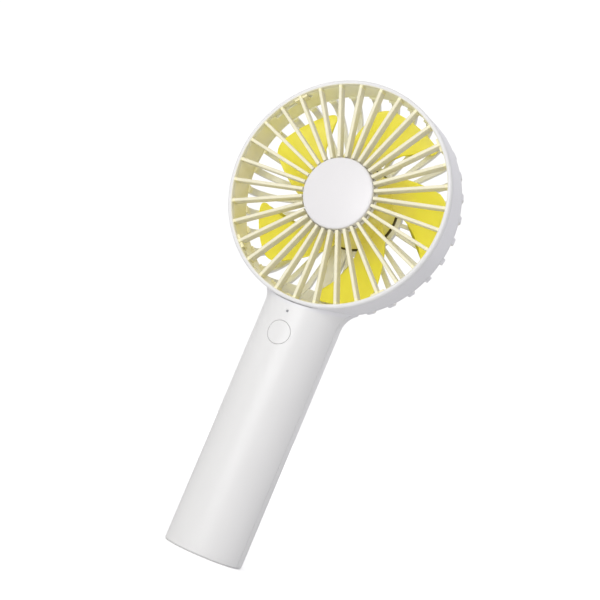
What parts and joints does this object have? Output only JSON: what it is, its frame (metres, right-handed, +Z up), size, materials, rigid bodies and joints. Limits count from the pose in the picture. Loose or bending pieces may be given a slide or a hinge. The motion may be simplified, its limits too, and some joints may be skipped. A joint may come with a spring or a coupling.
{
  "type": "handheld electric fan",
  "caption": "Handheld battery fan with a round ribbed cage, bladed impeller, straight tubular handle and push button.",
  "frame": {"origin": "centre of the handle's flat base face, which the fan stands on", "axes": "+Z runs up the handle to the head; the fan's axis lies along Y and air leaves the front grille along -Y; +X is to the right seen from the front"},
  "size_m": [0.098, 0.0368, 0.209],
  "materials": {
    "shell": "satin white ABS",
    "grille": "satin warm-white ABS",
    "cap": "semi-gloss white ABS",
    "blade": "semi-gloss yellow, slightly translucent",
    "steel": "zinc-plated",
    "aluminium": "die-cast",
    "iron": "laminated, dark",
    "copper": "enamelled copper wire",
    "board": "green solder mask",
    "dark_plastic": "black moulded",
    "lead_red": "silicone insulation",
    "lead_black": "silicone insulation",
    "cell_wrap": "blue shrink sleeve",
    "foam": "closed-cell foam",
    "clear": "frosted light guide"
  },
  "bodies": {
    "body": {"battery_cell": "cell_wrap", "battery_cradle": "dark_plastic", "battery_lead_black": "lead_black", "battery_lead_red": "lead_red", "bearing_front": "steel", "bearing_rear": "steel", "board_screw_1": "steel", "board_screw_2": "steel", "bottom_cap": "shell", "charge_board": "board", "charging_socket": "steel", "coil_1": "copper", "coil_2": "copper", "coil_3": "copper", "coil_4": "copper", "coil_5": "copper", "coil_6": "copper", "contact_bottom": "steel", "contact_top": "steel", "control_board": "board", "control_chip": "dark_plastic", "foam_pad": "foam", "front_housing": "shell", "housing_screw_1": "steel", "housing_screw_2": "steel", "housing_screw_3": "steel", "housing_screw_4": "steel", "light_pipe": "clear", "motor_lead_black": "lead_black", "motor_lead_red": "lead_red", "motor_plate": "aluminium", "motor_screw_1": "steel", "motor_screw_2": "steel", "motor_screw_3": "steel", "rear_housing": "shell", "stator_core": "iron", "status_lamp": "clear", "tact_switch": "dark_plastic"},
    "rotor": {"impeller": "blade", "rotor_cup": "steel", "magnet_ring": "dark_plastic", "motor_shaft": "steel"},
    "front_cover": {"front_grille": "grille", "centre_cap": "cap"},
    "button": {"power_button": "shell"},
    "plunger": {"switch_plunger": "dark_plastic"}
  },
  "joints": [
    {"name": "impeller_spin", "type": "hinge", "parent": "body", "child": "rotor", "pos_m": [0, -0.002, 0.16], "axis": [0, -1, 0], "continuous": true},
    {"name": "button_press", "type": "slide", "parent": "body", "child": "button", "axis": [0, 1, 0], "range_m": [0, 0.0008], "stiffness_N_per_m": 900},
    {"name": "plunger_press", "type": "slide", "parent": "body", "child": "plunger", "axis": [0, 1, 0], "range_m": [0, 0.0006]},
    {"name": "front_cover_twist", "type": "hinge", "parent": "body", "child": "front_cover", "pos_m": [0, -0.0179, 0.16], "axis": [0, -1, 0], "range_deg": [0, 12]}
  ],
  "couplings": [
    {"joint": "plunger_press", "follows": "button_press", "ratio": 0.75}
  ]
}
